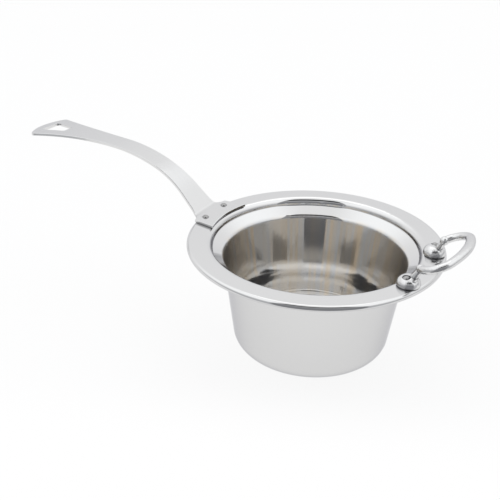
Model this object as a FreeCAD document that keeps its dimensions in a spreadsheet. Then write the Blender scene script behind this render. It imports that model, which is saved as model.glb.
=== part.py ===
# Long-handled stainless steel buffet pan: a spun bowl with a stepped rim and a flat flange,
# a cranked strap handle riveted to one side and a small cast loop handle to the other.
# Lengths in millimetres, angles in degrees. The origin is the middle of the base, +Z is up,
# the long handle points along -X and the loop handle along +X.
import FreeCAD, Part

import math
import os

import Sketcher
from FreeCAD import Placement, Rotation, Vector

SIZES = {
    # Pan: from the flange's edge inwards, measured on the inner skin of the sheet
    "sheet_thickness": "1.2",
    "pan_height": "128",
    "flange_radius": "140",
    "roll_radius": "3.2",
    "flange_width": "26.4",
    "crest_bend": "7",
    "step_depth": "8.4",
    "step_lean": "1.2",
    "ledge_bend": "2",
    "ledge_width": "12.4",
    "ledge_fall": "8.6",
    "mouth_bend": "6",
    "wall_taper": "15.4",
    "floor_bend": "19.4",
    # Long handle: the strap seen from the side
    "strap_thickness": "3.2",
    "strap_edge": "0.5",
    "crank_bend": "9",
    "rise_angle": "43.4",
    "rise_length": "27.4",
    "shoulder_radius": "117",
    "shoulder_turn": "22.6",
    "back_radius": "187",
    "back_turn": "17.4",
    "grip_radius": "809",
    # Long handle: the blank seen from above
    "strap_reach": "385",
    "foot_inset": "0.5",
    "foot_reach": "24.8",
    "foot_inner_half": "35.5",
    "foot_outer_half": "31.8",
    "foot_fillet": "16",
    "neck_radius": "300",
    "waist_half": "13.6",
    "waist_start": "200",
    "waist_end": "262",
    "flare_radius": "352",
    "tip_radius": "52.5",
    "tip_corner": "4",
    "hang_margin": "12",
    "hang_length": "29.4",
    "hang_outer_half": "14.8",
    "hang_inner_half": "7.4",
    "hang_corner": "3",
    # Loop handle: its feet stand in from the flange's edge, its necks and beads lead out again
    "pad_inset": "19.4",
    "pad_half_spread": "39",
    "pad_radius": "12.1",
    "pad_height": "10",
    "pad_edge": "2.2",
    "pad_flat": "3.5",
    "pad_round": "1.2",
    "neck_lead": "0.5",
    "neck_toe_in": "1",
    "neck_foot_radius": "5",
    "neck_top_radius": "3.2",
    "bead_lead": "9.6",
    "bead_toe_in": "2.9",
    "bead_rise": "19.2",
    "bead_radius": "4.7",
    "loop_tilt": "23.5",
    "loop_reach": "35.8",
    "loop_half_width": "43",
    "loop_side_radius": "17",
    "bar_tip_width": "11.5",
    "bar_tip_depth": "9",
    "bar_end_diameter": "8",
    # Rivets
    "rivet_diameter": "5",
    "rivet_clearance": "0.15",
    "rivet_head_diameter": "7.6",
    "rivet_head_height": "2.3",
    "rivet_tail_diameter": "8",
    "rivet_tail_height": "1.6",
    "long_rivet_inset": "10.5",
    "long_rivet_half_spread": "19.5",
    "side_rivet_back": "1.5",
    "side_rivet_out": "3.9",
    "side_rivet_seat": "8.7",
    "seat_clearance": "0.5",
}

# Places that follow from several sizes
CREST = "sizes.flange_radius - sizes.flange_width"
FOOT_INNER = "sizes.flange_radius - sizes.foot_reach"
FOOT_OUTER = "sizes.flange_radius - sizes.foot_inset"
LONG_RIVET = "sizes.flange_radius - sizes.long_rivet_inset"
LONG_SPREAD = "sizes.long_rivet_half_spread"
PAD = "sizes.flange_radius - sizes.pad_inset"
PAD_SPREAD = "sizes.pad_half_spread"
SIDE_RIVET = PAD + " - sizes.side_rivet_back"
SIDE_SPREAD = PAD_SPREAD + " + sizes.side_rivet_out"
NECK = PAD + " + sizes.neck_lead"
NECK_SPREAD = PAD_SPREAD + " - sizes.neck_toe_in"
BEAD = PAD + " + sizes.bead_lead"
BEAD_SPREAD = PAD_SPREAD + " - sizes.bead_toe_in"
BEAD_Z = "sizes.pan_height + sizes.bead_rise"

# A sketch's numbers for the points of a curve and for its own axes
START, END, CENTRE = range(1, 4)
X_AXIS, Y_AXIS = -1, -2
ORIGIN = (X_AXIS, START)

doc = FreeCAD.newDocument("buffet_pan")


def make_sheet():
    """Writes each driving size into a cell of its own, named by an alias."""
    sheet = doc.addObject("Spreadsheet::Sheet", "sizes")
    for row, (name, value) in enumerate(SIZES.items(), start=1):
        sheet.set(f"A{row}", name)
        sheet.set(f"B{row}", value)
        sheet.setAlias(f"B{row}", name)
    doc.recompute()
    return sheet


sizes = make_sheet()


def total(formula):
    """The number that a sum of the sheet's sizes comes to."""
    value = 0
    sign = 1
    for word in formula.split():
        if word in ("+", "-"):
            sign = 1 if word == "+" else -1
        else:
            value += sign * getattr(sizes, word.removeprefix("sizes."))
    return value


class Run:
    """One straight or curved run of an outline, drawn from its start to its end."""

    def __init__(self, start, end, centre=None, turn=0):
        self.start = start
        self.end = end
        self.centre = centre
        self.turn = turn

    @property
    def radius(self):
        return (self.start - self.centre).Length

    @property
    def first(self):
        return END if self.turn < 0 else START

    @property
    def last(self):
        return START if self.turn < 0 else END

    def geometry(self):
        if self.centre is None:
            return Part.LineSegment(self.start, self.end)
        low, high = (self.start, self.end) if self.turn > 0 else (self.end, self.start)
        angles = [math.atan2(p.y - self.centre.y, p.x - self.centre.x) for p in (low, high)]
        if angles[1] < angles[0]:
            angles[1] += 2 * math.pi
        circle = Part.Circle(self.centre, Vector(0, 0, 1), self.radius)
        return Part.ArcOfCircle(circle, *angles)

    def beside(self, gap):
        """The run that keeps a gap to the right of this one."""
        if self.centre is None:
            along = (self.end - self.start).normalize()
            shift = Vector(along.y, -along.x, 0) * gap
            return Run(self.start + shift, self.end + shift)
        ratio = (self.radius + self.turn * gap) / self.radius
        ends = [self.centre + (point - self.centre) * ratio for point in (self.start, self.end)]
        return Run(*ends, self.centre, self.turn)


def round_corners(points, bends):
    """Straight runs from point to point, with a tangent arc at each inner corner."""
    runs = []
    start = points[0]
    for before, corner, after, bend in zip(points, points[1:], points[2:], bends):
        back = (before - corner).normalize()
        ahead = (after - corner).normalize()
        half_angle = back.getAngle(ahead) / 2
        middle = (back + ahead).normalize()
        centre = corner + middle * (bend / math.sin(half_angle))
        leave = corner + back * (bend / math.tan(half_angle))
        join = corner + ahead * (bend / math.tan(half_angle))
        turn = 1 if (corner - before).cross(after - corner).z > 0 else -1
        runs.append(Run(start, leave))
        runs.append(Run(leave, join, centre, turn))
        start = join
    runs.append(Run(start, points[-1]))
    return runs


def arc_from(start, heading, radius, degrees):
    """A tangent arc from a point and a heading, to the left for a positive angle."""
    turn = 1 if degrees > 0 else -1
    normal = Vector(-math.sin(heading), math.cos(heading), 0) * turn
    centre = start + normal * radius
    spin = Rotation(Vector(0, 0, 1), degrees)
    return Run(start, centre + spin.multVec(start - centre), centre, turn)


def crossing(centre_a, radius_a, centre_b, radius_b):
    """Of the two points where two circles cross, the one further along X."""
    across = centre_b - centre_a
    span = across.Length
    along = (radius_a**2 - radius_b**2 + span**2) / (2 * span)
    rise = math.sqrt(radius_a**2 - along**2)
    unit = across * (1 / span)
    side = Vector(-unit.y, unit.x, 0) * rise
    middle = centre_a + unit * along
    return max(middle + side, middle - side, key=lambda point: point.x)


def toward(centre, point, radius):
    """The point of a circle that faces another point."""
    return centre + (point - centre).normalize() * radius


def add_sketch(body, name, role):
    """A new sketch on one of the body's own origin planes."""
    sketch = body.newObject("Sketcher::SketchObject", name)
    plane = next(item for item in body.Origin.OriginFeatures if item.Role == role)
    sketch.AttachmentSupport = [(plane, "")]
    sketch.MapMode = "FlatFace"
    return sketch


def fix(sketch, kind, *places):
    """Adds a constraint that carries no size."""
    return sketch.addConstraint(Sketcher.Constraint(kind, *places))


def size(sketch, name, formula, kind, *places_and_value):
    """Adds a named constraint whose size follows a formula of the sheet."""
    index = sketch.addConstraint(Sketcher.Constraint(kind, *places_and_value))
    sketch.renameConstraint(index, name)
    sketch.setExpression("Constraints." + name, formula)


def draw(sketch, runs):
    """Draws runs one after another, each tangent to the next; returns their numbers."""
    numbers = [sketch.addGeometry(run.geometry(), False) for run in runs]
    for i in range(len(runs) - 1):
        fix(sketch, "Tangent", numbers[i], runs[i].last, numbers[i + 1], runs[i + 1].first)
    return numbers


def draw_skin_beside(sketch, runs, numbers, gap, gap_formula, radii):
    """Draws the second skin of a sheet beside its first, round the same centres."""
    skin = [run.beside(gap) for run in runs]
    skin_numbers = draw(sketch, skin)
    after_arc = False
    for run, other, first, second in zip(runs, skin, numbers, skin_numbers):
        is_arc = run.centre is not None
        if is_arc:
            fix(sketch, "Coincident", first, CENTRE, second, CENTRE)
        # An arc that follows an arc has its radius from their tangency
        if is_arc and not after_arc:
            sign = "+" if run.turn > 0 else "-"
            formula = f"{radii[first]} {sign} ({gap_formula})"
            size(sketch, f"skin_radius_{second}", formula, "Radius", second, other.radius)
        after_arc = is_arc
    fix(sketch, "Horizontal", skin_numbers[0])
    fix(sketch, "PointOnObject", skin_numbers[0], START, Y_AXIS)
    return skin, skin_numbers


def close_skins(sketch, run_a, number_a, pos_a, run_b, number_b, pos_b):
    """Joins the ends of two skins with a straight edge."""
    edge = sketch.addGeometry(Part.LineSegment(run_a, run_b), False)
    fix(sketch, "Coincident", edge, START, number_a, pos_a)
    fix(sketch, "Coincident", edge, END, number_b, pos_b)
    return edge


def mark_corner(sketch, corner, line_a, line_b):
    """A construction point where two lines would meet without their bend."""
    point = sketch.addGeometry(Part.Point(corner), True)
    fix(sketch, "PointOnObject", point, START, line_a)
    fix(sketch, "PointOnObject", point, START, line_b)
    return point


def draw_pan_profile(sketch):
    """Half section of the spun sheet, from the middle of the floor to the rolled edge."""
    sheet = sizes.sheet_thickness
    top = sizes.pan_height
    ledge = top - sizes.step_depth
    mouth = ledge - sizes.ledge_fall
    crest_x = total(CREST)
    ledge_x = crest_x - sizes.step_lean
    mouth_x = ledge_x - sizes.ledge_width
    floor_x = mouth_x - sizes.wall_taper
    roll_centre = Vector(sizes.flange_radius - sizes.roll_radius, top - sizes.roll_radius)
    roll_top = roll_centre + Vector(0, sizes.roll_radius)
    roll_end = roll_centre - Vector(0, sizes.roll_radius)
    corners = [
        Vector(floor_x, sheet),
        Vector(mouth_x, mouth),
        Vector(ledge_x, ledge),
        Vector(crest_x, top),
    ]
    bends = ["floor_bend", "mouth_bend", "ledge_bend", "crest_bend"]
    points = [Vector(0, sheet)] + corners + [roll_top]
    runs = round_corners(points, [getattr(sizes, name) for name in bends])
    runs.append(Run(roll_top, roll_end, roll_centre, -1))
    numbers = draw(sketch, runs)
    lines = numbers[0:-1:2]
    arcs = numbers[1::2]

    radii = {arc: "sizes." + name for arc, name in zip(arcs, bends + ["roll_radius"])}
    for arc, formula in radii.items():
        size(sketch, f"bend_{arc}", formula, "Radius", arc, runs[arc].radius)
    marks = [
        mark_corner(sketch, corner, line_a, line_b)
        for corner, line_a, line_b in zip(corners, lines, lines[1:])
    ]
    floor_mark, mouth_mark, ledge_mark, crest_mark = [(mark, START) for mark in marks]
    floor, flange, roll = lines[0], lines[-1], arcs[-1]
    fix(sketch, "Horizontal", floor)
    fix(sketch, "Horizontal", flange)
    fix(sketch, "PointOnObject", floor, START, Y_AXIS)
    size(sketch, "floor_z", "sizes.sheet_thickness", "DistanceY", *ORIGIN, floor, START, sheet)
    size(sketch, "crest_x", CREST, "DistanceX", *ORIGIN, *crest_mark, crest_x)
    for name, kind, low, high in (
        ("step_lean", "DistanceX", ledge_mark, crest_mark),
        ("ledge_width", "DistanceX", mouth_mark, ledge_mark),
        ("wall_taper", "DistanceX", floor_mark, mouth_mark),
        ("ledge_fall", "DistanceY", mouth_mark, ledge_mark),
        ("step_depth", "DistanceY", ledge_mark, crest_mark),
        ("pan_height", "DistanceY", ORIGIN, crest_mark),
    ):
        size(sketch, name, "sizes." + name, kind, *low, *high, getattr(sizes, name))
    reach = "sizes.flange_radius - sizes.roll_radius"
    size(sketch, "roll_x", reach, "DistanceX", *ORIGIN, roll, CENTRE, roll_centre.x)
    fix(sketch, "Vertical", roll, CENTRE, roll, runs[-1].last)

    skin, skin_numbers = draw_skin_beside(
        sketch, runs, numbers, sheet, "sizes.sheet_thickness", radii
    )
    fix(sketch, "Vertical", skin_numbers[-1], CENTRE, skin_numbers[-1], skin[-1].last)
    close_skins(sketch, runs[0].start, numbers[0], START, skin[0].start, skin_numbers[0], START)
    close_skins(
        sketch, runs[-1].end, roll, runs[-1].last, skin[-1].end, skin_numbers[-1], skin[-1].last
    )


def cut_upwards(body, name, sketch):
    """Cuts away everything above the outline of a level sketch."""
    cut = body.newObject("PartDesign::Pocket", name)
    cut.Profile = sketch
    cut.Type = "ThroughAll"
    cut.Reversed = True
    doc.recompute()
    return cut


def draw_hole(sketch, name, x_formula, y_formula, x_sign=1, y_sign=1):
    """A rivet hole, its shank's size and the clearance round it, at one place."""
    radius = sizes.rivet_diameter / 2 + sizes.rivet_clearance
    centre = Vector(x_sign * total(x_formula), y_sign * total(y_formula))
    circle = sketch.addGeometry(Part.Circle(centre, Vector(0, 0, 1), radius), False)
    formula = "sizes.rivet_diameter / 2 + sizes.rivet_clearance"
    size(sketch, name + "_radius", formula, "Radius", circle, radius)
    for axis, text, sign in (("X", x_formula, x_sign), ("Y", y_formula, y_sign)):
        ends = (*ORIGIN, circle, CENTRE) if sign > 0 else (circle, CENTRE, *ORIGIN)
        size(sketch, name + "_" + axis.lower(), text, "Distance" + axis, *ends, total(text))


def make_pan():
    """The spun pan with the four rivet holes in its flange."""
    body = doc.addObject("PartDesign::Body", "pan_body")
    body.Label = "pan_body"
    profile = add_sketch(body, "pan_profile", "XZ_Plane")
    draw_pan_profile(profile)
    turned = body.newObject("PartDesign::Revolution", "pan_turned")
    turned.Profile = profile
    turned.ReferenceAxis = (profile, ["V_Axis"])
    turned.Angle = 360
    doc.recompute()

    holes = add_sketch(body, "pan_holes", "XY_Plane")
    for side, sign in (("left", -1), ("right", 1)):
        draw_hole(holes, "long_" + side, LONG_RIVET, LONG_SPREAD, -1, sign)
        draw_hole(holes, "side_" + side, SIDE_RIVET, SIDE_SPREAD, 1, sign)
    cut_upwards(body, "pan_drilled", holes)
    return body


def draw_strap_side(sketch):
    """The bent strap from the side: flat on the flange, cranked up, then arched outwards."""
    seat = sizes.pan_height
    crank = Vector(sizes.flange_radius, seat)
    rise = math.radians(sizes.rise_angle)
    back = rise - math.radians(sizes.shoulder_turn)
    grip = back - math.radians(sizes.back_turn)
    runs = [Run(Vector(0, seat), crank)]
    runs.append(arc_from(crank, 0, sizes.crank_bend, sizes.rise_angle))
    top = runs[-1].end + Vector(math.cos(rise), math.sin(rise)) * sizes.rise_length
    runs.append(Run(runs[-1].end, top))
    runs.append(arc_from(top, rise, sizes.shoulder_radius, -sizes.shoulder_turn))
    runs.append(arc_from(runs[-1].end, back, sizes.back_radius, -sizes.back_turn))
    hub_x = runs[-1].end.x + sizes.grip_radius * math.sin(grip)
    spare = sizes.strap_reach + sizes.tip_radius
    grip_turn = math.degrees(grip + math.asin((spare - hub_x) / sizes.grip_radius))
    runs.append(arc_from(runs[-1].end, grip, sizes.grip_radius, -grip_turn))
    numbers = draw(sketch, runs)
    foot, crank_arc, rise_line, shoulder_arc, back_arc, grip_arc = numbers

    names = ["crank_bend", "shoulder_radius", "back_radius", "grip_radius"]
    arcs = [crank_arc, shoulder_arc, back_arc, grip_arc]
    radii = {arc: "sizes." + name for arc, name in zip(arcs, names)}
    for arc, name in zip(arcs, names):
        size(sketch, name, "sizes." + name, "Radius", arc, getattr(sizes, name))
    for arc, name in zip(arcs, ["rise_angle", "shoulder_turn", "back_turn"]):
        span = math.radians(getattr(sizes, name))
        size(sketch, name, "sizes." + name, "Angle", arc, span)
    fix(sketch, "Horizontal", foot)
    fix(sketch, "PointOnObject", foot, START, Y_AXIS)
    size(sketch, "seat", "sizes.pan_height", "DistanceY", *ORIGIN, foot, START, seat)
    size(sketch, "crank_x", "sizes.flange_radius", "DistanceX", *ORIGIN, foot, END, crank.x)
    size(sketch, "rise_length", "sizes.rise_length", "Distance", rise_line, sizes.rise_length)
    spare_formula = "sizes.strap_reach + sizes.tip_radius"
    tip = (grip_arc, runs[-1].last)
    size(sketch, "spare", spare_formula, "DistanceX", *ORIGIN, *tip, spare)

    skin, skin_numbers = draw_skin_beside(
        sketch, runs, numbers, -sizes.strap_thickness, "-sizes.strap_thickness", radii
    )
    close_skins(sketch, runs[0].start, foot, START, skin[0].start, skin_numbers[0], START)
    end_edge = close_skins(
        sketch, runs[-1].end, *tip, skin[-1].end, skin_numbers[-1], skin[-1].last
    )
    fix(sketch, "PointOnObject", grip_arc, CENTRE, end_edge)


def draw_blank_edge(sketch):
    """One side of the strap's outline from above, closed round the metal that is cut away."""
    hub = Vector(0, 0)
    inner = total(FOOT_INNER)
    outer = total(FOOT_OUTER)
    neck_hub = Vector(sizes.waist_start, sizes.waist_half + sizes.neck_radius)
    flare_hub = Vector(sizes.waist_end, sizes.waist_half + sizes.flare_radius)
    tip_hub = Vector(sizes.strap_reach - sizes.tip_radius, 0)
    fillet_reach = sizes.neck_radius - sizes.foot_fillet
    fillet_hub = crossing(hub, outer + sizes.foot_fillet, neck_hub, fillet_reach)
    corner_reach = sizes.flare_radius + sizes.tip_corner
    corner_hub = crossing(tip_hub, sizes.tip_radius - sizes.tip_corner, flare_hub, corner_reach)
    inner_tip = Vector(math.sqrt(inner**2 - sizes.foot_inner_half**2), sizes.foot_inner_half)
    outer_tip = Vector(math.sqrt(outer**2 - sizes.foot_outer_half**2), sizes.foot_outer_half)
    fillet_start = toward(hub, fillet_hub, outer)
    fillet_end = toward(neck_hub, fillet_hub, sizes.neck_radius)
    waist = [Vector(sizes.waist_start, sizes.waist_half), Vector(sizes.waist_end, sizes.waist_half)]
    corner_start = toward(flare_hub, corner_hub, sizes.flare_radius)
    corner_end = toward(tip_hub, corner_hub, sizes.tip_radius)
    tip = Vector(sizes.strap_reach, 0)

    inner_run = Run(Vector(inner, 0), inner_tip, hub, 1)
    inner_arc = sketch.addGeometry(inner_run.geometry(), False)
    end_edge = sketch.addGeometry(Part.LineSegment(inner_tip, outer_tip), False)
    runs = [
        Run(outer_tip, fillet_start, hub, -1),
        Run(fillet_start, fillet_end, fillet_hub, 1),
        Run(fillet_end, waist[0], neck_hub, 1),
        Run(*waist),
        Run(waist[1], corner_start, flare_hub, 1),
        Run(corner_start, corner_end, corner_hub, -1),
        Run(corner_end, tip, tip_hub, -1),
    ]
    outer_arc, fillet, neck, waist_line, flare, corner, tip_arc = draw(sketch, runs)
    fix(sketch, "Coincident", inner_arc, END, end_edge, START)
    fix(sketch, "Coincident", end_edge, END, outer_arc, runs[0].first)
    for arc in (inner_arc, outer_arc):
        fix(sketch, "Coincident", arc, CENTRE, *ORIGIN)
    for place in ((inner_arc, START), (tip_arc, CENTRE), (tip_arc, runs[-1].last)):
        fix(sketch, "PointOnObject", *place, X_AXIS)
    fix(sketch, "Horizontal", waist_line)

    for arc, name, formula, radius in (
        (inner_arc, "inner", FOOT_INNER, inner),
        (outer_arc, "outer", FOOT_OUTER, outer),
        (fillet, "fillet", "sizes.foot_fillet", sizes.foot_fillet),
        (neck, "neck", "sizes.neck_radius", sizes.neck_radius),
        (flare, "flare", "sizes.flare_radius", sizes.flare_radius),
        (corner, "corner", "sizes.tip_corner", sizes.tip_corner),
        (tip_arc, "tip", "sizes.tip_radius", sizes.tip_radius),
    ):
        size(sketch, name + "_radius", formula, "Radius", arc, radius)
    for name, kind, place, value in (
        ("foot_inner_half", "DistanceY", (end_edge, START), sizes.foot_inner_half),
        ("foot_outer_half", "DistanceY", (end_edge, END), sizes.foot_outer_half),
        ("waist_half", "DistanceY", (waist_line, START), sizes.waist_half),
        ("waist_start", "DistanceX", (waist_line, START), sizes.waist_start),
        ("waist_end", "DistanceX", (waist_line, END), sizes.waist_end),
        ("strap_reach", "DistanceX", (tip_arc, runs[-1].last), sizes.strap_reach),
    ):
        size(sketch, name, "sizes." + name, kind, *ORIGIN, *place, value)
    return inner_run.start, inner_arc, tip, tip_arc, runs[-1].last


def frame_offcut(sketch, start, inner_arc, tip, tip_arc, tip_place):
    """Closes the outline with a rectangle that holds everything outside the strap."""
    side = sizes.flange_radius
    far = sizes.strap_reach + 2 * sizes.tip_radius
    corners = [start, Vector(0, 0), Vector(0, side), Vector(far, side), Vector(far, 0), tip]
    lines = [
        sketch.addGeometry(Part.LineSegment(a, b), False) for a, b in zip(corners, corners[1:])
    ]
    for earlier, later in zip(lines, lines[1:]):
        fix(sketch, "Coincident", earlier, END, later, START)
    fix(sketch, "Coincident", lines[0], START, inner_arc, START)
    fix(sketch, "Coincident", lines[-1], END, tip_arc, tip_place)
    fix(sketch, "Coincident", lines[0], END, *ORIGIN)
    fix(sketch, "PointOnObject", lines[-1], START, X_AXIS)
    fix(sketch, "Vertical", lines[1])
    fix(sketch, "Horizontal", lines[2])
    fix(sketch, "Vertical", lines[3])
    size(sketch, "side", "sizes.flange_radius", "DistanceY", *ORIGIN, lines[1], END, side)
    far_formula = "sizes.strap_reach + 2 * sizes.tip_radius"
    size(sketch, "far", far_formula, "DistanceX", *ORIGIN, lines[2], END, far)


def draw_hang_hole(sketch):
    """The hang hole: a trapezoid with round corners, wider towards the tip."""
    outer_x = sizes.strap_reach - sizes.hang_margin
    inner_x = outer_x - sizes.hang_length
    wide = sizes.hang_outer_half
    slim = sizes.hang_inner_half
    middle = Vector((outer_x + inner_x) / 2, -(wide + slim) / 2)
    corners = [
        Vector(outer_x, -wide),
        Vector(outer_x, wide),
        Vector(inner_x, slim),
        Vector(inner_x, -slim),
    ]
    runs = round_corners([middle] + corners + [middle], [sizes.hang_corner] * len(corners))
    runs[0] = Run(runs[-1].start, runs[0].end)
    runs.pop()
    numbers = draw(sketch, runs)
    fix(sketch, "Tangent", numbers[-1], runs[-1].last, numbers[0], START)
    lines = numbers[0::2]
    arcs = numbers[1::2]
    marks = [
        mark_corner(sketch, corner, line_a, line_b)
        for corner, line_a, line_b in zip(corners, lines, lines[1:] + lines[:1])
    ]
    for arc in arcs:
        size(sketch, f"corner_{arc}", "sizes.hang_corner", "Radius", arc, sizes.hang_corner)
    fix(sketch, "Symmetric", marks[0], START, marks[1], START, X_AXIS)
    fix(sketch, "Symmetric", marks[2], START, marks[3], START, X_AXIS)
    outer_formula = "sizes.strap_reach - sizes.hang_margin"
    size(sketch, "outer_x", outer_formula, "DistanceX", *ORIGIN, marks[1], START, outer_x)
    ends = (marks[2], START, marks[1], START)
    size(sketch, "length", "sizes.hang_length", "DistanceX", *ends, sizes.hang_length)
    size(sketch, "wide", "sizes.hang_outer_half", "DistanceY", *ORIGIN, marks[1], START, wide)
    size(sketch, "slim", "sizes.hang_inner_half", "DistanceY", *ORIGIN, marks[2], START, slim)


def rim_edges(shape):
    """Names the long edges where the strap's flat faces meet its cut sides."""
    steep = 0.2
    names = []
    for number, edge in enumerate(shape.Edges, start=1):
        faces = shape.ancestorsOfType(edge, Part.Face)
        point = edge.valueAt((edge.FirstParameter + edge.LastParameter) / 2)
        lifts = sorted(abs(face.normalAt(*face.Surface.parameter(point)).z) for face in faces)
        hole_edge = hasattr(edge.Curve, "Radius") and edge.Curve.Radius < sizes.rivet_diameter
        if len(lifts) == 2 and lifts[0] < steep < lifts[1] and not hole_edge:
            names.append(f"Edge{number}")
    return names


def make_long_handle():
    """The strap: bent from the side, cut to its outline from above, mirrored and edged."""
    body = doc.addObject("PartDesign::Body", "long_handle")
    body.Label = "long_handle"
    side = add_sketch(body, "strap_side", "XZ_Plane")
    draw_strap_side(side)
    strap = body.newObject("PartDesign::Pad", "strap")
    strap.Profile = side
    strap.Reversed = True
    strap.setExpression("Length", "sizes.flange_radius")
    doc.recompute()

    outline = add_sketch(body, "strap_outline", "XY_Plane")
    frame_offcut(outline, *draw_blank_edge(outline))
    draw_hole(outline, "rivet", LONG_RIVET, LONG_SPREAD)
    cut_upwards(body, "strap_trimmed", outline)
    whole = body.newObject("PartDesign::Mirrored", "strap_whole")
    whole.TransformMode = "Whole shape"
    whole.MirrorPlane = (outline, ["H_Axis"])
    body.Tip = whole
    doc.recompute()

    hang = add_sketch(body, "hang_outline", "XY_Plane")
    draw_hang_hole(hang)
    hung = cut_upwards(body, "strap_hung", hang)
    edged = body.newObject("PartDesign::Fillet", "strap_edged")
    edged.Base = (hung, rim_edges(hung.Shape))
    edged.setExpression("Radius", "sizes.strap_edge")
    doc.recompute()
    body.Placement = Placement(Vector(0, 0, 0), Rotation(Vector(0, 0, 1), 180))
    return body


def draw_pad_profile(sketch):
    """Half section of a round foot: a rounded base, a short wall and a dome with a flat top."""
    axis_x = total(PAD)
    base = sizes.pan_height
    rim = Vector(axis_x + sizes.pad_radius, base + sizes.pad_edge)
    flat = Vector(axis_x + sizes.pad_flat, base + sizes.pad_height)
    middle = Vector(axis_x, flat.y)
    foot = Vector(axis_x, base)
    # The dome runs into the flat top without a crease
    drop = sizes.pad_height - sizes.pad_edge
    reach = sizes.pad_radius - sizes.pad_flat
    dome_radius = (drop**2 + reach**2) / (2 * drop)
    dome = Run(rim, flat, flat - Vector(0, dome_radius), 1)
    arc = sketch.addGeometry(dome.geometry(), False)
    top = sketch.addGeometry(Part.LineSegment(flat, middle), False)
    axis = sketch.addGeometry(Part.LineSegment(middle, foot), False)
    lower_runs = round_corners([foot, Vector(rim.x, base), rim], [sizes.pad_round])
    bottom, base_round, wall = draw(sketch, lower_runs)
    fix(sketch, "Tangent", arc, END, top, START)
    fix(sketch, "Coincident", top, END, axis, START)
    fix(sketch, "Coincident", axis, END, bottom, START)
    fix(sketch, "Coincident", wall, END, arc, START)
    for line in (top, bottom):
        fix(sketch, "Horizontal", line)
    for line in (axis, wall):
        fix(sketch, "Vertical", line)
    size(sketch, "pad_x", PAD, "DistanceX", *ORIGIN, axis, START, axis_x)
    size(sketch, "pad_base", "sizes.pan_height", "DistanceY", *ORIGIN, bottom, START, base)
    size(sketch, "pad_flat", "sizes.pad_flat", "Distance", top, sizes.pad_flat)
    size(sketch, "pad_height", "sizes.pad_height", "Distance", axis, sizes.pad_height)
    ends = (bottom, START, wall, END)
    size(sketch, "pad_radius", "sizes.pad_radius", "DistanceX", *ends, sizes.pad_radius)
    size(sketch, "pad_edge", "sizes.pad_edge", "DistanceY", *ends, sizes.pad_edge)
    size(sketch, "pad_round", "sizes.pad_round", "Radius", base_round, sizes.pad_round)
    return axis


def draw_disc(sketch, x_formula, y_formula, radius_formula, radius):
    """A circle at one place, whose radius follows a formula."""
    x = total(x_formula)
    y = total(y_formula)
    circle = sketch.addGeometry(Part.Circle(Vector(x, y), Vector(0, 0, 1), radius), False)
    size(sketch, "x", x_formula, "DistanceX", *ORIGIN, circle, CENTRE, x)
    size(sketch, "y", y_formula, "DistanceY", *ORIGIN, circle, CENTRE, y)
    size(sketch, "radius", radius_formula, "Radius", circle, radius)


def draw_loop_path(sketch):
    """Half of the loop's centre line in its own plane, from the tip round to the bead."""
    side_radius = sizes.loop_side_radius
    side_y = sizes.loop_half_width - side_radius
    bead = Vector(0, total(BEAD_SPREAD))
    side_hub = Vector(math.sqrt(side_radius**2 - (bead.y - side_y) ** 2), side_y)
    short = side_hub.x - sizes.loop_reach
    front_radius = (side_radius**2 - short**2 - side_y**2) / (2 * (short + side_radius))
    front_hub = Vector(sizes.loop_reach - front_radius, 0)
    tip = Vector(sizes.loop_reach, 0)
    join = toward(front_hub, side_hub, front_radius)
    front, side = draw(sketch, [Run(tip, join, front_hub, 1), Run(join, bead, side_hub, 1)])
    fix(sketch, "PointOnObject", front, START, X_AXIS)
    fix(sketch, "PointOnObject", front, CENTRE, X_AXIS)
    fix(sketch, "PointOnObject", side, END, Y_AXIS)
    size(sketch, "reach", "sizes.loop_reach", "DistanceX", *ORIGIN, front, START, tip.x)
    size(sketch, "bead_y", BEAD_SPREAD, "DistanceY", *ORIGIN, side, END, bead.y)
    size(sketch, "side_radius", "sizes.loop_side_radius", "Radius", side, side_radius)
    hub_formula = "sizes.loop_half_width - sizes.loop_side_radius"
    size(sketch, "side_hub_y", hub_formula, "DistanceY", *ORIGIN, side, CENTRE, side_y)


def draw_bar_tip(sketch):
    """The bar's oval section at the tip of the loop, in the plane across it."""
    tilt = math.radians(sizes.loop_tilt)
    along = Vector(math.cos(tilt), math.sin(tilt))
    across = Vector(-along.y, along.x)
    root = Vector(total(BEAD), total(BEAD_Z))
    middle = root + along * sizes.loop_reach
    wide = middle + along * (sizes.bar_tip_width / 2)
    deep = middle + across * (sizes.bar_tip_depth / 2)
    oval = sketch.addGeometry(Part.Ellipse(wide, deep, middle), False)
    sketch.exposeInternalGeometry(oval)
    long_axis, short_axis = oval + 1, oval + 2
    size(sketch, "width", "sizes.bar_tip_width", "Distance", long_axis, sizes.bar_tip_width)
    size(sketch, "depth", "sizes.bar_tip_depth", "Distance", short_axis, sizes.bar_tip_depth)
    x_formula = BEAD + " + sizes.loop_reach * cos(sizes.loop_tilt)"
    z_formula = BEAD_Z + " + sizes.loop_reach * sin(sizes.loop_tilt)"
    size(sketch, "x", x_formula, "DistanceX", *ORIGIN, oval, CENTRE, middle.x)
    size(sketch, "z", z_formula, "DistanceY", *ORIGIN, oval, CENTRE, middle.y)
    size(sketch, "tilt", "sizes.loop_tilt", "Angle", long_axis, tilt)


def raise_sketch(sketch, formula):
    """Lifts a sketch from its plane to the height that a formula gives."""
    sketch.setExpression("AttachmentOffset.Base.z", formula)


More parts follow.
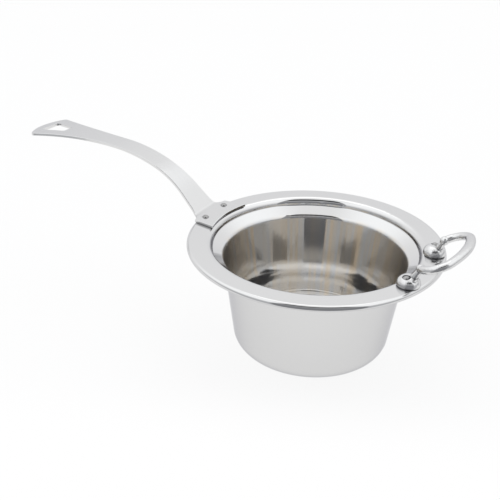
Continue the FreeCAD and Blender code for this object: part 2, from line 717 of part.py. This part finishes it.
def make_side_handle():
    """The cast loop handle: one half with foot, neck, bead and bar, and its mirror image."""
    body = doc.addObject("PartDesign::Body", "side_handle")
    body.Label = "side_handle"
    profile = add_sketch(body, "pad_profile", "XZ_Plane")
    axis = draw_pad_profile(profile)
    raise_sketch(profile, "-" + PAD_SPREAD)
    pad = body.newObject("PartDesign::Revolution", "pad")
    pad.Profile = profile
    pad.ReferenceAxis = (profile, [f"Edge{axis + 1}"])
    pad.Angle = 360
    doc.recompute()

    neck_foot = add_sketch(body, "neck_foot", "XY_Plane")
    foot_radius = sizes.neck_foot_radius
    draw_disc(neck_foot, NECK, NECK_SPREAD, "sizes.neck_foot_radius", foot_radius)
    raise_sketch(neck_foot, "sizes.pan_height + sizes.pad_edge")
    neck_top = add_sketch(body, "neck_top", "XY_Plane")
    top_radius = sizes.neck_top_radius
    draw_disc(neck_top, BEAD, BEAD_SPREAD, "sizes.neck_top_radius", top_radius)
    raise_sketch(neck_top, BEAD_Z)
    neck = body.newObject("PartDesign::AdditiveLoft", "neck")
    neck.Profile = neck_foot
    neck.Sections = [neck_top]
    doc.recompute()

    bead = body.newObject("PartDesign::AdditiveSphere", "bead")
    bead.setExpression("Radius", "sizes.bead_radius")
    bead.setExpression("Placement.Base.x", BEAD)
    bead.setExpression("Placement.Base.y", BEAD_SPREAD)
    bead.setExpression("Placement.Base.z", BEAD_Z)
    doc.recompute()

    path = add_sketch(body, "loop_path", "XY_Plane")
    tilt_axis = Vector(0, -1, 0)
    path.AttachmentOffset = Placement(Vector(0, 0, 0), Rotation(tilt_axis, sizes.loop_tilt))
    path.setExpression("AttachmentOffset.Rotation.Angle", "sizes.loop_tilt")
    path.setExpression("AttachmentOffset.Base.x", BEAD)
    raise_sketch(path, BEAD_Z)
    draw_loop_path(path)
    bar_tip = add_sketch(body, "bar_tip", "XZ_Plane")
    draw_bar_tip(bar_tip)
    doc.recompute()
    bar_end = body.newObject("Sketcher::SketchObject", "bar_end")
    bar_end.AttachmentSupport = [(path, "Edge2")]
    bar_end.MapMode = "NormalToEdge"
    bar_end.MapPathParameter = 1
    end_radius = sizes.bar_end_diameter / 2
    ring = bar_end.addGeometry(Part.Circle(Vector(0, 0), Vector(0, 0, 1), end_radius), False)
    fix(bar_end, "Coincident", ring, CENTRE, *ORIGIN)
    size(bar_end, "radius", "sizes.bar_end_diameter / 2", "Radius", ring, end_radius)
    doc.recompute()
    bar = body.newObject("PartDesign::AdditivePipe", "bar")
    bar.Profile = bar_tip
    bar.Spine = (path, ["Edge1", "Edge2"])
    bar.Sections = [bar_end]
    bar.Transformation = "Multisection"
    doc.recompute()

    seat = add_sketch(body, "rivet_seat", "XY_Plane")
    seat_formula = "sizes.rivet_head_diameter / 2 + sizes.seat_clearance"
    seat_radius = sizes.rivet_head_diameter / 2 + sizes.seat_clearance
    draw_disc(seat, SIDE_RIVET, SIDE_SPREAD, seat_formula, seat_radius)
    raise_sketch(seat, "sizes.pan_height + sizes.side_rivet_seat")
    cut_upwards(body, "pad_faced", seat)
    hole = add_sketch(body, "pad_hole", "XY_Plane")
    draw_hole(hole, "rivet", SIDE_RIVET, SIDE_SPREAD)
    cut_upwards(body, "pad_drilled", hole)
    whole = body.newObject("PartDesign::Mirrored", "side_whole")
    whole.TransformMode = "Whole shape"
    whole.MirrorPlane = (hole, ["H_Axis"])
    body.Tip = whole
    doc.recompute()
    return body


def draw_rivet(sketch, grip_formula):
    """Half section of a set rivet: round head, shank and the flatter head formed below."""
    grip = total(grip_formula)
    shank = sizes.rivet_diameter / 2
    head_edge = Vector(sizes.rivet_head_diameter / 2, 0)
    tail_edge = Vector(sizes.rivet_tail_diameter / 2, -grip)
    head_top = Vector(0, sizes.rivet_head_height)
    tail_low = Vector(0, -grip - sizes.rivet_tail_height)
    head_radius = (head_edge.x**2 + head_top.y**2) / (2 * head_top.y)
    tail_depth = sizes.rivet_tail_height
    tail_radius = (tail_edge.x**2 + tail_depth**2) / (2 * tail_depth)
    head = Run(head_edge, head_top, head_top - Vector(0, head_radius), 1)
    tail = Run(tail_low, tail_edge, tail_low + Vector(0, tail_radius), 1)
    head_arc = sketch.addGeometry(head.geometry(), False)
    tail_arc = sketch.addGeometry(tail.geometry(), False)
    axis = sketch.addGeometry(Part.LineSegment(head_top, tail_low), False)
    points = [tail_edge, Vector(shank, -grip), Vector(shank, 0), head_edge]
    lines = [sketch.addGeometry(Part.LineSegment(a, b), False) for a, b in zip(points, points[1:])]
    under, wall, seat = lines
    for earlier, later in zip(lines, lines[1:]):
        fix(sketch, "Coincident", earlier, END, later, START)
    fix(sketch, "Coincident", head_arc, END, axis, START)
    fix(sketch, "Coincident", axis, END, tail_arc, START)
    fix(sketch, "Coincident", tail_arc, END, under, START)
    fix(sketch, "Coincident", seat, END, head_arc, START)
    for arc in (head_arc, tail_arc):
        fix(sketch, "PointOnObject", arc, CENTRE, Y_AXIS)
    fix(sketch, "PointOnObject", axis, START, Y_AXIS)
    fix(sketch, "PointOnObject", axis, END, Y_AXIS)
    fix(sketch, "PointOnObject", seat, END, X_AXIS)
    fix(sketch, "Horizontal", under)
    fix(sketch, "Horizontal", seat)
    fix(sketch, "Vertical", wall)
    for name, place, value in (
        ("rivet_head_diameter", (seat, END), head_edge.x),
        ("rivet_tail_diameter", (under, START), tail_edge.x),
        ("rivet_diameter", (wall, START), shank),
    ):
        size(sketch, name, f"sizes.{name} / 2", "DistanceX", *ORIGIN, *place, value)
    for name, low, high, value in (
        ("rivet_head_height", ORIGIN, (axis, START), head_top.y),
        ("rivet_tail_height", (axis, END), (under, START), tail_depth),
    ):
        size(sketch, name, "sizes." + name, "DistanceY", *low, *high, value)
    size(sketch, "grip", grip_formula, "Distance", wall, grip)


def make_rivet(name, x_formula, y_formula, foot_thickness):
    """A rivet set through one foot of a handle and the flange below it."""
    body = doc.addObject("PartDesign::Body", name)
    body.Label = name
    profile = add_sketch(body, name + "_profile", "XZ_Plane")
    draw_rivet(profile, foot_thickness + " + sizes.sheet_thickness")
    turned = body.newObject("PartDesign::Revolution", name + "_turned")
    turned.Profile = profile
    turned.ReferenceAxis = (profile, ["V_Axis"])
    turned.Angle = 360
    body.setExpression("Placement.Base.x", x_formula)
    body.setExpression("Placement.Base.y", y_formula)
    body.setExpression("Placement.Base.z", "sizes.pan_height + " + foot_thickness)
    doc.recompute()
    return body


def make_rivets():
    """Two rivets for each handle, left and right of it."""
    rivets = []
    for handle, x_formula, spread, foot_thickness in (
        ("long_handle", f"-({LONG_RIVET})", LONG_SPREAD, "sizes.strap_thickness"),
        ("side_handle", SIDE_RIVET, SIDE_SPREAD, "sizes.side_rivet_seat"),
    ):
        for side, sign in (("left", ""), ("right", "-")):
            name = f"{handle}_rivet_{side}"
            rivets.append(make_rivet(name, x_formula, f"{sign}({spread})", foot_thickness))
    return rivets


def check(parts):
    """Stops if any object failed, any cut missed or any sub-part has no sound shape."""
    for item in doc.Objects:
        if {"Invalid", "Error"} & set(item.State):
            raise RuntimeError(f"{item.Name} failed: {item.State}")
        is_cut = item.TypeId == "PartDesign::Pocket"
        if is_cut and item.Shape.Volume >= item.BaseFeature.Shape.Volume:
            raise RuntimeError(f"{item.Name} cuts nothing")
    for part in parts:
        if part.Shape.isNull() or not part.Shape.isValid():
            raise RuntimeError(f"{part.Label} has no sound shape")


def write(parts):
    os.makedirs("parts", exist_ok=True)
    for part in parts:
        part.Shape.exportStep(f"parts/{part.Label}.step")
        print(part.Label, len(part.Shape.Solids), round(part.Shape.Volume, 1))


parts = [make_pan(), make_long_handle(), make_side_handle()] + make_rivets()
doc.recompute()
check(parts)
write(parts)
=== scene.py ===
"""Long-handled buffet pan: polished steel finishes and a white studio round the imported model."""

import math

import bpy
from mathutils import Matrix, Vector

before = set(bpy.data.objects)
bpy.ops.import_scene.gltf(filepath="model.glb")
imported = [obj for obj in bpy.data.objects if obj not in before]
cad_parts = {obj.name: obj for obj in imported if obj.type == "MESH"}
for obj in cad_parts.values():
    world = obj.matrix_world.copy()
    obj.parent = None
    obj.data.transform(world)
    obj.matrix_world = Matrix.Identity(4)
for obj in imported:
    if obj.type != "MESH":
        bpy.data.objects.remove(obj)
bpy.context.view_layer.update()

# Camera, in metres in the model's own frame
CAMERA_PLACE = Vector((0.3340, -0.7358, 0.5298))
CAMERA_AIM = Vector((-0.4371, 0.7737, -0.4586))
CAMERA_ROLL = math.radians(1.321)
CAMERA_LENS = 59.59
CAMERA_NEAREST = 0.01

# Directions: level from the pan to the camera, level to the right of the picture, and up
FRONT = Vector((CAMERA_PLACE.x, CAMERA_PLACE.y, 0)).normalized()
RIGHT = Vector((-FRONT.y, FRONT.x, 0))
UP = Vector((0, 0, 1))
LEVEL_ONLY = (1, 1, 0)

WHITE = (1, 1, 1)

# What one reflection keeps of the light: rim and handles, the bowl's outside, the warm and cool
# streaks inside the bowl, the rivets, and painted shade in the corners
STEEL = (0.733, 0.731, 0.726)
# Painted shade: faces that look down, the bowl's outside among them, are a little darker
STEEL_SHADED_UNDERSIDE = (0.683, 0.682, 0.680)
STEEL_TAN = (0.738, 0.692, 0.628)
STEEL_BLUE = (0.674, 0.684, 0.696)
STEEL_RIVET = (0.36, 0.355, 0.35)
STEEL_PAINTED_SHADE = (0.20, 0.20, 0.205)

# Share that steel keeps where it is seen at a low angle
EDGE_TINT = (0.72, 0.72, 0.74)

# Roughness in the brightest and in the dullest patches of each finish
RIM_ROUGHNESS = (0.05, 0.08)
INSIDE_ROUGHNESS = (0.04, 0.06)
STRAP_ROUGHNESS = (0.08, 0.14)
CAST_ROUGHNESS = (0.16, 0.24)
RIVET_ROUGHNESS = (0.16, 0.26)

# Dull patches: the noise over which they come up, its detail, and its scale on each finish
HAZE_RANGE = (0.35, 0.75)
HAZE_DETAIL = 4
SHEET_HAZE_SCALE = 60
CAST_HAZE_SCALE = 90
RIVET_HAZE_SCALE = 300

# Painted shade in corners: how open a spot is where it is darkest and where it ends, and its reach in
# metres
CORNER_OPENNESS = (0.50, 0.95)
CORNER_SAMPLES = 8
STRAP_SHADE_REACH = 0.005
CAST_SHADE_REACH = 0.006
RIVET_SHADE_REACH = 0.003

# Unevenness of each finish: noise scale, and depth in metres
PAN_WAVES = (30, 0.00002)
STRAP_GRAIN = (4, 0.00005)
CAST_LUMPS = (240, 0.00040)
RIVET_LUMPS = (300, 0.00004)
STRAP_GRAIN_STRETCH = (8, 160, 8)

# The inside of the bowl: how far its faces look up, and the radii where it goes over into the rim
UPWARD_RANGE = (-0.05, 0.05)
INSIDE_RADII = (0.099, 0.104)
INSIDE_METALLIC = 0.96

# Streaks down the inside: noise over the bearing, and where it turns dull and where tan
STREAK_SCALE = 6
STREAK_DULL_RANGE = (0.35, 0.65)
STREAK_TAN_RANGE = (0.40, 0.60)

# Fine lines round the pan, left by the spinning
SPUN_ANISOTROPY = 0.85
SPUN_ROTATION = 0.25

# The white floor, in metres: it fades and ends in front of the pan, runs far to the sides and the
# back, and lies a hair under the base
FLOOR_FADE = 0.08
FLOOR_FRONT = 0.21
FLOOR_FAR = 6.0
FLOOR_DROP = 0.0002

# Share of the floor's look that is plain white: the rest is lit and takes the shadow
FLOOR_GLOW = 0.88

# The studio: white, with a grey horizon beside the pan and a soft glow high on both sides.
# Heights are sines, and the bearing is the cosine of the turn from the dark front's middle
STUDIO_WHITE = (0.995, 1.00, 1.01)
HORIZON_GREY = (0.55, 0.56, 0.58)
HORIZON_HEIGHT = (0.15, 0.45)
HORIZON_BEARING = (-0.7, -0.1)
SIDE_GLOW = (1.22, 1.24, 1.26)
GLOW_ACROSS = (0.10, 0.50)
GLOW_HEIGHT = (0.40, 0.80)

# The studio's dark front, behind the camera: its turn to the right, half width, soft edge, and the
# heights over which it ends
FRONT_TURN = math.radians(6.5)
FRONT_HALF_WIDTH = math.radians(39.5)
FRONT_EDGE = math.radians(2)
FRONT_TOP = (0.87, 0.97)

# Shades of the dark front, from the floor up, each with the heights over which it comes in
FRONT_LOWEST = (0.26, 0.265, 0.28)
FRONT_SHADES = [
    ((0.14, 0.38), (0.18, 0.185, 0.205)),
    ((0.37, 0.43), (0.46, 0.465, 0.48)),
    ((0.62, 0.72), (0.015, 0.016, 0.020)),
]

# One softbox above and behind the pan, in metres and watts
SOFTBOX_SIZE = 1.0
SOFTBOX_POWER = 1.4
SOFTBOX_BACK = 0.76
SOFTBOX_HEIGHT = 1.6

LIGHT_BOUNCES = 24


def add_node(tree, kind, **settings):
    """A new node with its properties set."""
    node = tree.nodes.new("ShaderNode" + kind)
    for name, value in settings.items():
        setattr(node, name, value)
    return node


def feed(tree, node, values):
    """Sets a node's inputs, each from a plain value, a colour or an output of another node."""
    for key, value in values.items():
        socket = node.inputs[key]
        if isinstance(value, bpy.types.NodeSocket):
            tree.links.new(value, socket)
        elif socket.type == "RGBA":
            socket.default_value = (*value, 1)
        else:
            socket.default_value = value


def calculate(tree, operation, first, second=0.0):
    """The result of an operation on one or two numbers."""
    node = add_node(tree, "Math", operation=operation)
    feed(tree, node, {0: first, 1: second})
    return node.outputs[0]


def calculate_vector(tree, operation, first, second=(0, 0, 0), output="Vector"):
    """The result of an operation on one or two vectors."""
    node = add_node(tree, "VectorMath", operation=operation)
    feed(tree, node, {0: first, 1: second})
    return node.outputs[output]


def ramp(tree, value, low, high, low_value=0.0, high_value=1.0):
    """A smooth step from one value to another while the input goes from low to high."""
    node = add_node(tree, "MapRange", interpolation_type="SMOOTHSTEP")
    feed(tree, node, {0: value, 1: low, 2: high, 3: low_value, 4: high_value})
    return node.outputs[0]


def noise(tree, vector, scale, detail=2.0):
    """Soft noise over the surface."""
    node = add_node(tree, "TexNoise")
    feed(tree, node, {"Vector": vector, "Scale": scale, "Detail": detail})
    return node.outputs["Fac"]


def mix(tree, share, first, second):
    """A number between two others."""
    node = add_node(tree, "Mix", data_type="FLOAT")
    feed(tree, node, {0: share, 2: first, 3: second})
    return node.outputs[0]


def blend(tree, share, first, second):
    """A colour between two others."""
    node = add_node(tree, "Mix", data_type="RGBA")
    feed(tree, node, {0: share, 6: first, 7: second})
    return node.outputs[2]


def steel(name):
    """A bare steel material, with its shader and the place on the surface in metres."""
    material = bpy.data.materials.new(name)
    material.use_nodes = True
    tree = material.node_tree
    shader = tree.nodes["Principled BSDF"]
    feed(tree, shader, {"Base Color": STEEL, "Metallic": 1, "Specular Tint": EDGE_TINT})
    return material, tree, shader, add_node(tree, "TexCoord").outputs["Object"]


def haze(tree, place, scale, roughness):
    """Roughness that comes and goes in soft patches."""
    return ramp(tree, noise(tree, place, scale, HAZE_DETAIL), *HAZE_RANGE, *roughness)


def paint_corner_shade(tree, shader, colour, reach):
    """Paints shade into the corners, within a reach in metres of another surface."""
    nearby = add_node(tree, "AmbientOcclusion", samples=CORNER_SAMPLES)
    feed(tree, nearby, {"Distance": reach})
    openness = ramp(tree, nearby.outputs["AO"], *CORNER_OPENNESS)
    feed(tree, shader, {"Base Color": blend(tree, openness, STEEL_PAINTED_SHADE, colour)})


def add_bump(tree, shader, place, scale, depth):
    """Raises the surface by soft noise, up to a depth in metres."""
    bump = add_node(tree, "Bump")
    feed(tree, bump, {"Strength": 1, "Distance": depth, "Height": noise(tree, place, scale)})
    feed(tree, shader, {"Normal": bump.outputs["Normal"]})


def pan_steel():
    """Spun sheet: bright rim, an outside painted a little darker as shade where its faces look down,
    and an inside with warm and cool streaks.
    """
    material, tree, shader, place = steel("pan_steel")
    level = calculate_vector(tree, "MULTIPLY", place, LEVEL_ONLY)
    radius = calculate_vector(tree, "LENGTH", level, output="Value")
    bearing = calculate_vector(tree, "NORMALIZE", level)
    normal = add_node(tree, "SeparateXYZ")
    feed(tree, normal, {0: add_node(tree, "NewGeometry").outputs["Normal"]})
    upward = ramp(tree, normal.outputs["Z"], *UPWARD_RANGE)
    within = ramp(tree, radius, *INSIDE_RADII, 1, 0)
    inside = calculate(tree, "MULTIPLY", upward, within)
    streaks = noise(tree, bearing, STREAK_SCALE)
    dullness = ramp(tree, streaks, *STREAK_DULL_RANGE, *INSIDE_ROUGHNESS)
    tint = blend(tree, ramp(tree, streaks, *STREAK_TAN_RANGE), STEEL_BLUE, STEEL_TAN)
    # Painted shade on the faces that look down
    rim_or_shaded_underside = blend(tree, upward, STEEL_SHADED_UNDERSIDE, STEEL)
    around = add_node(tree, "Tangent", direction_type="RADIAL", axis="Z")
    feed(tree, shader, {
        "Base Color": blend(tree, inside, rim_or_shaded_underside, tint),
        "Metallic": ramp(tree, inside, 0, 1, 1, INSIDE_METALLIC),
        "Roughness": mix(tree, inside, haze(tree, place, SHEET_HAZE_SCALE, RIM_ROUGHNESS), dullness),
        "Specular Tint": blend(tree, inside, EDGE_TINT, WHITE),
        "Anisotropic": SPUN_ANISOTROPY,
        "Anisotropic Rotation": SPUN_ROTATION,
        "Tangent": around.outputs[0],
    })
    add_bump(tree, shader, place, *PAN_WAVES)
    return material


def strap_steel():
    """Polished strap with a faint grain along its length."""
    material, tree, shader, place = steel("strap_steel")
    feed(tree, shader, {"Roughness": haze(tree, place, SHEET_HAZE_SCALE, STRAP_ROUGHNESS)})
    # Painted shade in the strap's corners
    paint_corner_shade(tree, shader, STEEL, STRAP_SHADE_REACH)
    stretched = calculate_vector(tree, "MULTIPLY", place, STRAP_GRAIN_STRETCH)
    add_bump(tree, shader, stretched, *STRAP_GRAIN)
    return material


def cast_steel():
    """Casting polished by hand, with the slight lumps that leaves."""
    material, tree, shader, place = steel("cast_steel")
    feed(tree, shader, {"Roughness": haze(tree, place, CAST_HAZE_SCALE, CAST_ROUGHNESS)})
    # Painted shade in the casting's corners
    paint_corner_shade(tree, shader, STEEL, CAST_SHADE_REACH)
    add_bump(tree, shader, place, *CAST_LUMPS)
    return material


def rivet_steel():
    """Rivet heads, darker and a little duller than the handles."""
    material, tree, shader, place = steel("rivet_steel")
    feed(tree, shader, {"Roughness": haze(tree, place, RIVET_HAZE_SCALE, RIVET_ROUGHNESS)})
    # Painted shade round the rivet heads
    paint_corner_shade(tree, shader, STEEL_RIVET, RIVET_SHADE_REACH)
    add_bump(tree, shader, place, *RIVET_LUMPS)
    return material


def dress(names, material):
    """Gives CAD nodes their finish."""
    for name in names:
        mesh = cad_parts[name].data
        mesh.materials.clear()
        mesh.materials.append(material)


def add_camera():
    """The camera, aimed and then rolled about its aim."""
    data = bpy.data.cameras.new("camera")
    data.lens = CAMERA_LENS
    data.clip_start = CAMERA_NEAREST
    camera = bpy.data.objects.new("camera", data)
    bpy.context.collection.objects.link(camera)
    aim = CAMERA_AIM.normalized()
    right = aim.cross(UP).normalized()
    up = right.cross(aim)
    turned_right = right * math.cos(CAMERA_ROLL) + up * math.sin(CAMERA_ROLL)
    turned_up = up * math.cos(CAMERA_ROLL) - right * math.sin(CAMERA_ROLL)
    axes = Matrix((turned_right, turned_up, -aim)).transposed()
    camera.matrix_world = Matrix.Translation(CAMERA_PLACE) @ axes.to_4x4()
    bpy.context.scene.camera = camera


def seen_or_mirrored(tree):
    """1 for what the camera sees and for what metal mirrors."""
    ray = add_node(tree, "LightPath").outputs
    mirrored = calculate(tree, "MAXIMUM", ray["Is Glossy Ray"], ray["Is Transmission Ray"])
    return calculate(tree, "MAXIMUM", ray["Is Camera Ray"], mirrored)


def floor_white():
    """White floor that glows where it is seen, and keeps the shadow under the pan."""
    material = bpy.data.materials.new("floor")
    material.use_nodes = True
    tree = material.node_tree
    shader = tree.nodes["Principled BSDF"]
    feed(tree, shader, {"Base Color": WHITE, "Roughness": 1, "Specular IOR Level": 0})
    glow = add_node(tree, "Emission")
    feed(tree, glow, {"Color": WHITE, "Strength": 1})
    place = add_node(tree, "TexCoord").outputs["Object"]
    forward = calculate_vector(tree, "DOT_PRODUCT", place, FRONT, "Value")
    most = ramp(tree, forward, FLOOR_FADE, FLOOR_FRONT, FLOOR_GLOW, 1)
    share = calculate(tree, "MULTIPLY", seen_or_mirrored(tree), most)
    surface = add_node(tree, "MixShader")
    feed(tree, surface, {0: share, 1: shader.outputs[0], 2: glow.outputs[0]})
    feed(tree, tree.nodes["Material Output"], {"Surface": surface.outputs[0]})
    return material


def add_floor():
    """The floor, one flat sheet."""
    mesh = bpy.data.meshes.new("floor")
    near = FRONT * FLOOR_FRONT - UP * FLOOR_DROP
    far = -FRONT * FLOOR_FAR - UP * FLOOR_DROP
    side = RIGHT * FLOOR_FAR
    mesh.from_pydata([near - side, near + side, far + side, far - side], [], [(0, 1, 2, 3)])
    mesh.materials.append(floor_white())
    floor = bpy.data.objects.new("floor", mesh)
    bpy.context.collection.objects.link(floor)


def front_colour(tree, height):
    """The dark front's shades, from the floor up."""
    colour = FRONT_LOWEST
    for heights, shade in FRONT_SHADES:
        colour = blend(tree, ramp(tree, height, *heights), colour, shade)
    return colour


def surroundings(tree, direction, toward, height):
    """The studio without its dark front."""
    low = ramp(tree, height, *HORIZON_HEIGHT, 1, 0)
    beside = ramp(tree, toward, *HORIZON_BEARING)
    horizon = calculate(tree, "MULTIPLY", low, beside)
    across = calculate_vector(tree, "DOT_PRODUCT", direction, RIGHT, "Value")
    sides = ramp(tree, calculate(tree, "ABSOLUTE", across), *GLOW_ACROSS)
    raised = ramp(tree, height, *GLOW_HEIGHT)
    glow = calculate(tree, "MULTIPLY", sides, raised)
    return blend(tree, glow, blend(tree, horizon, STUDIO_WHITE, HORIZON_GREY), SIDE_GLOW)


def add_studio():
    """The world: plain white to the camera, and the studio to all that it lights."""
    world = bpy.data.worlds.new("studio")
    bpy.context.scene.world = world
    world.use_nodes = True
    tree = world.node_tree
    direction = add_node(tree, "TexCoord").outputs["Generated"]
    level = calculate_vector(tree, "MULTIPLY", direction, LEVEL_ONLY)
    bearing = calculate_vector(tree, "NORMALIZE", level)
    middle = FRONT * math.cos(FRONT_TURN) + RIGHT * math.sin(FRONT_TURN)
    toward = calculate_vector(tree, "DOT_PRODUCT", bearing, middle, "Value")
    height = calculate_vector(tree, "DOT_PRODUCT", direction, UP, "Value")
    outer = math.cos(FRONT_HALF_WIDTH + FRONT_EDGE)
    inner = math.cos(FRONT_HALF_WIDTH - FRONT_EDGE)
    below_top = ramp(tree, height, *FRONT_TOP, 1, 0)
    in_front = calculate(tree, "MULTIPLY", ramp(tree, toward, outer, inner), below_top)
    round_about = surroundings(tree, direction, toward, height)
    lighting = blend(tree, in_front, round_about, front_colour(tree, height))
    seen = add_node(tree, "LightPath").outputs["Is Camera Ray"]
    feed(tree, tree.nodes["Background"], {"Color": blend(tree, seen, lighting, WHITE), "Strength": 1})


def add_softbox():
    """A square lamp, turned to the pan."""
    data = bpy.data.lights.new("softbox", "AREA")
    data.shape = "SQUARE"
    data.size = SOFTBOX_SIZE
    data.energy = SOFTBOX_POWER
    light = bpy.data.objects.new("softbox", data)
    light.location = UP * SOFTBOX_HEIGHT - FRONT * SOFTBOX_BACK
    light.rotation_euler = (-light.location).to_track_quat("-Z", "Y").to_euler()
    bpy.context.collection.objects.link(light)


def set_view():
    """Plain colours, and enough bounces for the bowl."""
    scene = bpy.context.scene
    scene.view_settings.view_transform = "Standard"
    # Light runs round the polished bowl many times before it leaves
    scene.cycles.max_bounces = LIGHT_BOUNCES
    scene.cycles.glossy_bounces = LIGHT_BOUNCES
    # What the bowl mirrors many times over is too grainy to guide the noise filter
    scene.cycles.denoising_input_passes = "RGB"


dress(["pan_body"], pan_steel())
dress(["long_handle"], strap_steel())
dress(["side_handle"], cast_steel())
dress([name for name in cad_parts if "rivet" in name], rivet_steel())

add_camera()
add_floor()
add_studio()
add_softbox()
set_view()
